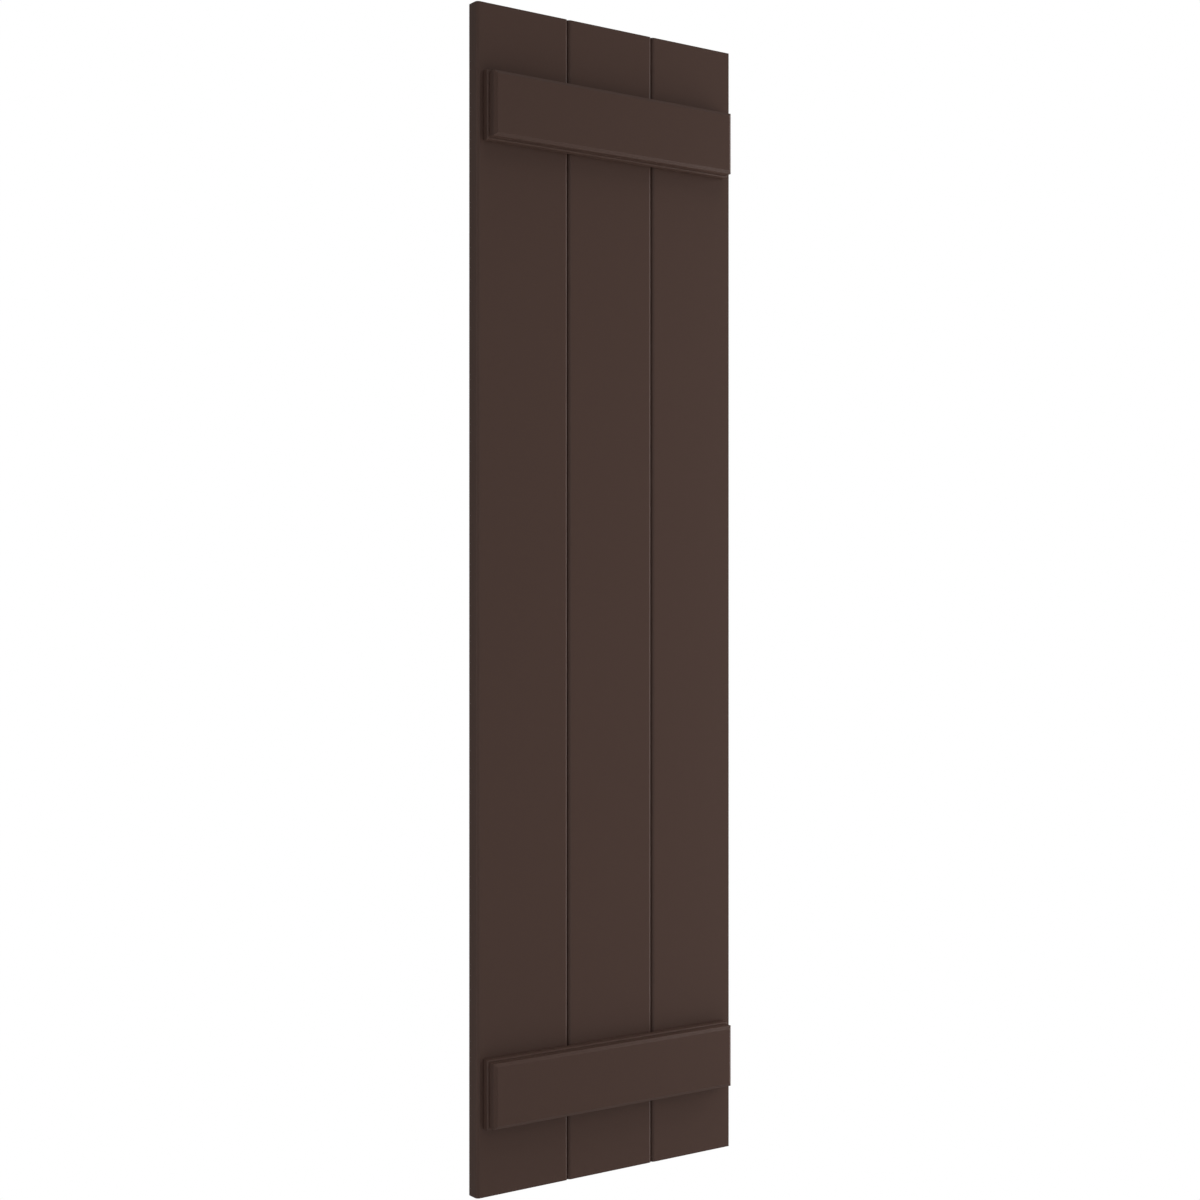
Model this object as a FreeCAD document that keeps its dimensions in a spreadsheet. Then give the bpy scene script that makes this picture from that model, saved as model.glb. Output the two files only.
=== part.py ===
"""Board and batten shutter: three boards with rounded joints, held by two moulded battens.

Millimetres. The origin is the centre of the back face, which lies against the wall.
+X runs to the right across the boards, +Y goes into the wall, +Z is up.
"""
import FreeCAD
import Part
import Sketcher
import os

SIZES = [
    # Panel of boards
    ("shutter_height", 1524.0),
    ("board_thickness", 19.05),
    ("left_board_width", 140.25),
    ("middle_board_width", 136.5),
    ("right_board_width", 133.35),
    # Rounded front edges of the boards, and the tongue and slot behind each joint
    ("edge_round", 4.76),
    ("tongue_thickness", 6.35),
    ("tongue_length", 6.0),
    ("tongue_set_back", 6.35),
    ("tongue_clearance", 0.2),
    # Battens with a round-edged lip and a bevelled field
    ("batten_side_inset", 9.9),
    ("batten_height", 88.9),
    ("batten_end_distance", 87.5),
    ("lip_thickness", 9.8),
    ("lip_width", 2.8),
    ("lip_round", 2.0),
    ("field_thickness", 23.2),
    ("bevel_run", 4.2),
    ("bevel_rise", 3.0),
]
ALIASES = {alias for alias, _ in SIZES}
EDGE_TOLERANCE = 1e-4

doc = FreeCAD.newDocument("shutter")
sheet = doc.addObject("Spreadsheet::Sheet", "sizes")
for row, (alias, value) in enumerate(SIZES, start=1):
    sheet.set(f"A{row}", alias)
    sheet.set(f"B{row}", str(value))
    sheet.setAlias(f"B{row}", alias)
doc.recompute()


def tied(text):
    """The expression with each size word tied to its cell in the sheet."""
    return " ".join(f"sizes.{word}" if word in ALIASES else word for word in text.split())


def measure(text):
    """The expression's present value."""
    return sheet.evalExpression(tied(text))


def new_body(label):
    body = doc.addObject("PartDesign::Body", label)
    body.Label = label
    return body


def outline(body, name, role, corners):
    """A closed sketch whose corners are each held by two expressions from the sketch's origin."""
    sketch = body.newObject("Sketcher::SketchObject", name)
    plane = next(feature for feature in body.Origin.OriginFeatures if feature.Role == role)
    sketch.AttachmentSupport = [(plane, "")]
    sketch.MapMode = "FlatFace"
    points = [FreeCAD.Vector(*[measure(text) for text in corner], 0) for corner in corners]
    for start, end in zip(points, points[1:] + points[:1]):
        sketch.addGeometry(Part.LineSegment(start, end), False)
    for index, (corner, point) in enumerate(zip(corners, points)):
        before = (index - 1) % len(corners)
        sketch.addConstraint(Sketcher.Constraint("Coincident", before, 2, index, 1))
        for kind, text, value in (("DistanceX", corner[0], point.x), ("DistanceY", corner[1], point.y)):
            number = sketch.addConstraint(Sketcher.Constraint(kind, -1, 1, index, 1, value))
            sketch.setExpression(f"Constraints[{number}]", tied(text))
    return sketch


def pad(body, name, sketch, length):
    feature = body.newObject("PartDesign::Pad", name)
    feature.Profile = sketch
    feature.setExpression("Length", tied(length))
    return feature


def front_edges(feature):
    """Names and boxes of the edges that lie in a feature's front face."""
    doc.recompute()
    front = feature.Shape.BoundBox.YMin
    return [
        (f"Edge{number}", edge.BoundBox) for number, edge in enumerate(feature.Shape.Edges, start=1)
        if edge.BoundBox.YMax - front < EDGE_TOLERANCE
    ]


def rounded(body, name, feature, edges, radius):
    """The feature with a round of the named radius along some of its edges."""
    fillet = body.newObject("PartDesign::Fillet", name)
    fillet.Base = (feature, edges)
    fillet.setExpression("Radius", tied(radius))


def square_edge(x):
    """Back and front corner of a board edge that is cut square."""
    return [(x, "0"), (x, "- board_thickness")]


def tongue_edge(x):
    """Right-hand edge from back to front: shoulder, tongue and shoulder."""
    tip = f"{x} + tongue_length"
    back = "- tongue_set_back"
    front = "- tongue_set_back - tongue_thickness"
    return [(x, "0"), (x, back), (tip, back), (tip, front), (x, front), (x, "- board_thickness")]


def slot_edge(x):
    """Left-hand edge from back to front: a slot one clearance larger than the tongue."""
    floor = f"{x} + tongue_length + tongue_clearance"
    back = "tongue_clearance - tongue_set_back"
    front = "- tongue_set_back - tongue_thickness - tongue_clearance"
    return [(x, "0"), (x, back), (floor, back), (floor, front), (x, front), (x, "- board_thickness")]


def board(label, left_edge, right_edge, round_places):
    """A board padded to its full height, its long front edges rounded at the places given."""
    body = new_body(label)
    section = outline(body, f"{label}_section", "XY_Plane", right_edge + left_edge[::-1])
    length = pad(body, f"{label}_length", section, "shutter_height")
    length.SideType = "Symmetric"
    places = [measure(place) for place in round_places]
    chosen = [
        name for name, box in front_edges(length)
        if any(abs(box.XMin - x) + abs(box.XMax - x) < EDGE_TOLERANCE for x in places)
    ]
    rounded(body, f"{label}_round", length, chosen, "edge_round")
    return body


def rectangle(half_width, half_height):
    return [
        (f"- {half_width}", f"- {half_height}"), (half_width, f"- {half_height}"),
        (half_width, half_height), (f"- {half_width}", half_height),
    ]


def batten(label, height_of_centre):
    """A thin round-edged lip, a thicker field inside it, and a bevel round the field's front face."""
    body = new_body(label)
    half_sizes = (f"( {panel_width} / 2 - batten_side_inset )", "( batten_height / 2 )")
    rim = outline(body, f"{label}_lip_outline", "XZ_Plane", rectangle(*half_sizes))
    rim.setExpression("AttachmentOffset.Base.z", tied("board_thickness"))
    lip = pad(body, f"{label}_lip", rim, "lip_thickness")
    rounded(body, f"{label}_lip_round", lip, [name for name, box in front_edges(lip)], "lip_round")
    field_sizes = [f"( {half} - lip_width )" for half in half_sizes]
    field = outline(body, f"{label}_field_outline", "XZ_Plane", rectangle(*field_sizes))
    field.setExpression("AttachmentOffset.Base.z", tied("board_thickness"))
    raised = pad(body, f"{label}_field", field, "field_thickness")
    bevelled = body.newObject("PartDesign::Chamfer", f"{label}_bevel")
    bevelled.Base = (raised, [name for name, box in front_edges(raised)])
    bevelled.ChamferType = "Two distances"
    bevelled.setExpression("Size", tied("bevel_rise"))
    bevelled.setExpression("Size2", tied("bevel_run"))
    body.setExpression("Placement.Base.z", tied(height_of_centre))
    return body


panel_width = "( left_board_width + middle_board_width + right_board_width )"
left = f"- {panel_width} / 2"
first_joint = f"{left} + left_board_width"
second_joint = f"{first_joint} + middle_board_width"
right = f"{panel_width} / 2"
batten_centre = "shutter_height / 2 - batten_end_distance - batten_height / 2"

pieces = [
    board("left_board", square_edge(left), tongue_edge(first_joint), [left, first_joint]),
    board("middle_board", slot_edge(first_joint), tongue_edge(second_joint), [first_joint, second_joint]),
    board("right_board", slot_edge(second_joint), square_edge(right), [second_joint]),
    batten("top_batten", batten_centre),
    batten("bottom_batten", f"- ( {batten_centre} )"),
]
doc.recompute()

for item in doc.Objects:
    if "Invalid" in item.State or "Error" in item.State:
        raise RuntimeError(f"{item.Label} failed: {item.State}")
for piece in pieces:
    if piece.Shape.isNull() or not piece.Shape.isValid() or len(piece.Shape.Solids) != 1:
        raise RuntimeError(f"{piece.Label} is not one valid solid")

os.makedirs("parts", exist_ok=True)
for piece in pieces:
    piece.Shape.exportStep(f"parts/{piece.Label}.step")
    print(piece.Label, piece.Shape.BoundBox, round(piece.Shape.Volume))
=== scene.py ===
import bpy
import math
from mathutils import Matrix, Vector


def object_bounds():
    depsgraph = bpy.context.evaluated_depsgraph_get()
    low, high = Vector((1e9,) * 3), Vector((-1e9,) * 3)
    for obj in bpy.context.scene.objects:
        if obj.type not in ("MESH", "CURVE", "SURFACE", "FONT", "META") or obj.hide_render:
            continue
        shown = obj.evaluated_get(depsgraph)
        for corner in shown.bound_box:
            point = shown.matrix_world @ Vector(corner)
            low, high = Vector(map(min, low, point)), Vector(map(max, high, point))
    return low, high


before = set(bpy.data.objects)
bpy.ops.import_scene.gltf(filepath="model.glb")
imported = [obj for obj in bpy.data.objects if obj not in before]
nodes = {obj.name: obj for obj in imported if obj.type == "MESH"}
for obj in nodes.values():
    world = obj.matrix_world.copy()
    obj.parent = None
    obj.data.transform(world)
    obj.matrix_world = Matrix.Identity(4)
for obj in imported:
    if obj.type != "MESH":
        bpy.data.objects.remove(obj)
cadLow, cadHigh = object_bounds()
scene = bpy.context.scene
print("frame loaded:", sorted(nodes))


# grain of the paint film: broad clouds, the reach of an edge in metres, and the brush's stipple
paintFilm = {
    "cloudScale": 4.0,
    "cloudDetail": 1.0,
    "cloudSpan": (0.2, 0.8),
    "edgeRadius": 0.0012,
    "edgeSamples": 4,
    "edgeTurn": (0.995, 0.9),      # cosine of the turn where an edge begins, and where it is full
    "stippleDetail": 2.0,
}


# brushed-on film with a fine stipple, faint tone drift, and edges painted lighter: partly worn, thinner
# paint and partly a painted highlight
def makePaintSkin():
    group = bpy.data.node_groups.new("paintSkin", "ShaderNodeTree")
    face = group.interface
    for name, kind in (
        ("Colour", "Color"), ("Stretch", "Vector"), ("Stipple Size", "Float"),
        ("Stipple Height", "Float"), ("Tone Drift", "Float"), ("Edge Wear And Highlight", "Float"),
        ("Roughness", "Float"), ("Roughness Drift", "Float"),
    ):
        face.new_socket(name, in_out="INPUT", socket_type="NodeSocket" + kind)
    for name, kind in (("Colour", "Color"), ("Roughness", "Float"), ("Normal", "Vector")):
        face.new_socket(name, in_out="OUTPUT", socket_type="NodeSocket" + kind)
    add = group.nodes.new
    link = group.links.new
    given = add("NodeGroupInput")
    result = add("NodeGroupOutput")
    place = add("ShaderNodeTexCoord")

    # broad cloudy drift of tone and sheen
    cloud = add("ShaderNodeTexNoise")
    cloud.inputs["Scale"].default_value = paintFilm["cloudScale"]
    cloud.inputs["Detail"].default_value = paintFilm["cloudDetail"]
    link(place.outputs["Object"], cloud.inputs["Vector"])
    swing = add("ShaderNodeMapRange")      # cloud as a swing of -1 to 1
    lowCloud, highCloud = paintFilm["cloudSpan"]
    swing.inputs["From Min"].default_value = lowCloud
    swing.inputs["From Max"].default_value = highCloud
    swing.inputs["To Min"].default_value = -1.0
    link(cloud.outputs["Fac"], swing.inputs["Value"])
    shade = add("ShaderNodeMath")
    shade.operation = "MULTIPLY_ADD"
    shade.inputs[2].default_value = 1.0
    link(swing.outputs["Result"], shade.inputs[0])
    link(given.outputs["Tone Drift"], shade.inputs[1])
    sheen = add("ShaderNodeMath")
    sheen.operation = "MULTIPLY_ADD"
    link(swing.outputs["Result"], sheen.inputs[0])
    link(given.outputs["Roughness Drift"], sheen.inputs[1])
    link(given.outputs["Roughness"], sheen.inputs[2])
    link(sheen.outputs["Value"], result.inputs["Roughness"])

    # edges are painted lighter where an arris turns away from its neighbours: partly thinner paint,
    # partly a painted highlight on the arris
    plain = add("ShaderNodeNewGeometry")
    soft = add("ShaderNodeBevel")
    soft.samples = paintFilm["edgeSamples"]
    soft.inputs["Radius"].default_value = paintFilm["edgeRadius"]
    turn = add("ShaderNodeVectorMath")
    turn.operation = "DOT_PRODUCT"
    link(soft.outputs["Normal"], turn.inputs[0])
    link(plain.outputs["Normal"], turn.inputs[1])
    edge = add("ShaderNodeMapRange")
    edgeStart, edgeFull = paintFilm["edgeTurn"]
    edge.inputs["From Min"].default_value = edgeStart
    edge.inputs["From Max"].default_value = edgeFull
    link(turn.outputs["Value"], edge.inputs["Value"])
    lift = add("ShaderNodeMath")
    lift.operation = "MULTIPLY_ADD"
    link(edge.outputs["Result"], lift.inputs[0])
    link(given.outputs["Edge Wear And Highlight"], lift.inputs[1])
    link(shade.outputs["Value"], lift.inputs[2])
    tint = add("ShaderNodeVectorMath")
    tint.operation = "SCALE"
    link(given.outputs["Colour"], tint.inputs[0])
    link(lift.outputs["Value"], tint.inputs["Scale"])
    link(tint.outputs["Vector"], result.inputs["Colour"])

    # stipple left by the brush, drawn out along the piece
    drawn = add("ShaderNodeVectorMath")
    drawn.operation = "MULTIPLY"
    link(place.outputs["Object"], drawn.inputs[0])
    link(given.outputs["Stretch"], drawn.inputs[1])
    stipple = add("ShaderNodeTexNoise")
    stipple.inputs["Detail"].default_value = paintFilm["stippleDetail"]
    link(drawn.outputs["Vector"], stipple.inputs["Vector"])
    fineness = add("ShaderNodeMath")
    fineness.operation = "DIVIDE"
    fineness.inputs[0].default_value = 1.0
    link(given.outputs["Stipple Size"], fineness.inputs[1])
    link(fineness.outputs["Value"], stipple.inputs["Scale"])
    relief = add("ShaderNodeBump")
    link(stipple.outputs["Fac"], relief.inputs["Height"])
    link(given.outputs["Stipple Height"], relief.inputs["Distance"])
    link(relief.outputs["Normal"], result.inputs["Normal"])
    return group


paintSkin = makePaintSkin()

# one paint on every piece, brushed along its length
paintLook = {
    "Colour": (0.0553, 0.0330, 0.0263, 1.0),
    "Stipple Size": 0.0016,
    "Stipple Height": 0.000015,
    "Tone Drift": 0.006,
    # lighter arrises: partly worn paint, partly a painted highlight
    "Edge Wear And Highlight": 0.10,
    "Roughness": 0.50,
    "Roughness Drift": 0.05,
}
satin = {"Specular IOR Level": 0.0, "Coat Weight": 0.13, "Coat IOR": 1.5, "Coat Roughness": 0.30}
brushing = {"board": (1.0, 1.0, 0.12), "batten": (0.12, 1.0, 1.0)}      # squeezed along the stroke


def makePaint(name, stretch):
    material = bpy.data.materials.new(name)
    material.use_nodes = True
    tree = material.node_tree
    shader = tree.nodes["Principled BSDF"]
    for socket, value in satin.items():
        shader.inputs[socket].default_value = value
    skin = tree.nodes.new("ShaderNodeGroup")
    skin.node_tree = paintSkin
    skin.inputs["Stretch"].default_value = stretch
    for socket, value in paintLook.items():
        skin.inputs[socket].default_value = value
    for given, taken in (("Colour", "Base Color"), ("Roughness", "Roughness"), ("Normal", "Normal")):
        tree.links.new(skin.outputs[given], shader.inputs[taken])
    return material


boardPaint = makePaint("boardPaint", brushing["board"])
battenPaint = makePaint("battenPaint", brushing["batten"])


# on the flat back the boards meet in a hairline seam: a dark line is painted there, partly painted
# shade of the seam and partly bare joint the paint doesn't fill
seamShadeLine = {"colour": (0.016, 0.010, 0.008, 1.0), "halfWidth": 0.0004, "depth": 0.0008}


def paintBackSeamShade(material, joints):
    tree = material.node_tree
    add = tree.nodes.new
    link = tree.links.new
    shader = tree.nodes["Principled BSDF"]
    place = add("ShaderNodeTexCoord")
    split = add("ShaderNodeSeparateXYZ")
    link(place.outputs["Object"], split.inputs["Vector"])
    back = add("ShaderNodeMath")
    back.operation = "GREATER_THAN"
    back.inputs[1].default_value = -seamShadeLine["depth"]
    link(split.outputs["Y"], back.inputs[0])
    colour = shader.inputs["Base Color"].links[0].from_socket      # the paint so far
    # over each joint on the back, a dark line of painted seam shade
    for joint in joints:
        near = add("ShaderNodeMath")
        near.operation = "COMPARE"
        near.inputs[1].default_value = joint
        near.inputs[2].default_value = seamShadeLine["halfWidth"]
        link(split.outputs["X"], near.inputs[0])
        seam = add("ShaderNodeMath")
        seam.operation = "MULTIPLY"
        link(near.outputs["Value"], seam.inputs[0])
        link(back.outputs["Value"], seam.inputs[1])
        mix = add("ShaderNodeMix")
        mix.data_type = "RGBA"
        below, above = mix.inputs[6], mix.inputs[7]      # the mix node's colour sockets
        above.default_value = seamShadeLine["colour"]
        link(seam.outputs["Value"], mix.inputs[0])
        link(colour, below)
        colour = mix.outputs[2]
    link(colour, shader.inputs["Base Color"])


def leftEdge(node):
    return min((node.matrix_world @ Vector(corner)).x for corner in node.bound_box)


paintBackSeamShade(boardPaint, [leftEdge(nodes["middle_board"]), leftEdge(nodes["right_board"])])

for name, node in nodes.items():
    node.data.materials.clear()
    node.data.materials.append(battenPaint if name.endswith("batten") else boardPaint)
print("paint on", len(nodes), "pieces")


# camera, mirror and glass see plain white, and light bounces off what the plain shader gives
def addWhiteToView(tree, plainShader, output):
    look = tree.nodes.new("ShaderNodeLightPath")
    white = tree.nodes.new("ShaderNodeEmission")
    mirror = tree.nodes.new("ShaderNodeMath")
    mirror.operation = "MAXIMUM"
    seen = tree.nodes.new("ShaderNodeMath")
    seen.operation = "MAXIMUM"
    mix = tree.nodes.new("ShaderNodeMixShader")
    tree.links.new(look.outputs["Is Glossy Ray"], mirror.inputs[0])
    tree.links.new(look.outputs["Is Transmission Ray"], mirror.inputs[1])
    tree.links.new(look.outputs["Is Camera Ray"], seen.inputs[0])
    tree.links.new(mirror.outputs["Value"], seen.inputs[1])
    tree.links.new(seen.outputs["Value"], mix.inputs["Fac"])
    tree.links.new(plainShader.outputs[0], mix.inputs[1])
    tree.links.new(white.outputs["Emission"], mix.inputs[2])
    tree.links.new(mix.outputs["Shader"], output.inputs["Surface"])
    return seen, mix


# pale floor below the shutter, which hangs as it does on a wall
floorLook = {
    "drop": 1.0,
    "size": 14.0,
    "colour": (0.9, 0.9, 0.9, 1.0),
    "roughness": 0.8,
    "shadowReach": 0.6,       # metres from the middle where the shadow begins to fade into white
    "whiteReach": 1.5,
    "whiteNear": 0.75,        # share of plain white on the floor near the middle
}
bpy.ops.mesh.primitive_plane_add(size=floorLook["size"], location=(0, 0, cadLow[2] - floorLook["drop"]))
floor = bpy.context.object
floor.name = "studioFloor"
floorMaterial = bpy.data.materials.new("paleFloor")
floorMaterial.use_nodes = True
floorTree = floorMaterial.node_tree
floorShader = floorTree.nodes["Principled BSDF"]
floorShader.inputs["Base Color"].default_value = floorLook["colour"]
floorShader.inputs["Roughness"].default_value = floorLook["roughness"]
seen, mix = addWhiteToView(floorTree, floorShader, floorTree.nodes["Material Output"])
spot = floorTree.nodes.new("ShaderNodeTexCoord")
reach = floorTree.nodes.new("ShaderNodeVectorMath")
reach.operation = "LENGTH"
fade = floorTree.nodes.new("ShaderNodeMapRange")
fade.interpolation_type = "SMOOTHSTEP"
fade.inputs["From Min"].default_value = floorLook["shadowReach"]
fade.inputs["From Max"].default_value = floorLook["whiteReach"]
fade.inputs["To Min"].default_value = floorLook["whiteNear"]
whiteShare = floorTree.nodes.new("ShaderNodeMath")
whiteShare.operation = "MULTIPLY"
floorTree.links.new(spot.outputs["Object"], reach.inputs[0])
floorTree.links.new(reach.outputs["Value"], fade.inputs["Value"])
floorTree.links.new(fade.outputs["Result"], whiteShare.inputs[0])
floorTree.links.new(seen.outputs["Value"], whiteShare.inputs[1])
floorTree.links.new(whiteShare.outputs["Value"], mix.inputs["Fac"])
floor.data.materials.append(floorMaterial)

# room round it: white to look at, and no lamp
world = bpy.data.worlds.new("whiteRoom")
scene.world = world
world.use_nodes = True
room = world.node_tree.nodes["Background"]
room.inputs["Color"].default_value = (1, 1, 1, 1)
room.inputs["Strength"].default_value = 0.0
addWhiteToView(world.node_tree, room, world.node_tree.nodes["World Output"])
print("floor and room")

# soft boxes: place, width and height in metres, power in watts
softBoxes = {
    "rightBox": {"place": (1.7, -0.25, 0.0), "size": (1.6, 2.6), "power": 87.5},
    "frontBox": {"place": (-0.1, -1.9, 0.0), "size": (1.0, 2.6), "power": 15.6},
    "leftBox": {"place": (-1.9, -0.2, 0.0), "size": (1.6, 2.6), "power": 21.4},
    "topBox": {"place": (0.2, -1.3, 3.4), "size": (2.2, 2.2), "power": 45.5},
    "backBox": {"place": (0.5, 2.6, 0.4), "size": (1.6, 2.4), "power": 58.0},
}
aim = Vector((0.1, -0.02, 0.0))
for name, box in softBoxes.items():
    lamp = bpy.data.lights.new(name, "AREA")
    lamp.shape = "RECTANGLE"
    lamp.size, lamp.size_y = box["size"]
    lamp.energy = box["power"]
    holder = bpy.data.objects.new(name, lamp)
    scene.collection.objects.link(holder)
    holder.location = box["place"]
    holder.rotation_euler = (aim - holder.location).to_track_quat("-Z", "Y").to_euler()
    holder.visible_camera = False
print("soft boxes:", len(softBoxes))

# camera where the photograph was taken from
photoView = {
    "stand": (-1.4646, -2.0906, -0.0003),
    "tilt": 90.0,      # degrees, looking level
    "turn": -35.0,     # degrees about the upright
    "fieldOfView": 35.0,
}
camera = bpy.data.objects.new("photoCamera", bpy.data.cameras.new("photoCamera"))
scene.collection.objects.link(camera)
camera.location = photoView["stand"]
camera.rotation_euler = (math.radians(photoView["tilt"]), 0, math.radians(photoView["turn"]))
camera.data.angle = math.radians(photoView["fieldOfView"])
scene.camera = camera
print("camera set")

scene.view_settings.view_transform = "Standard"
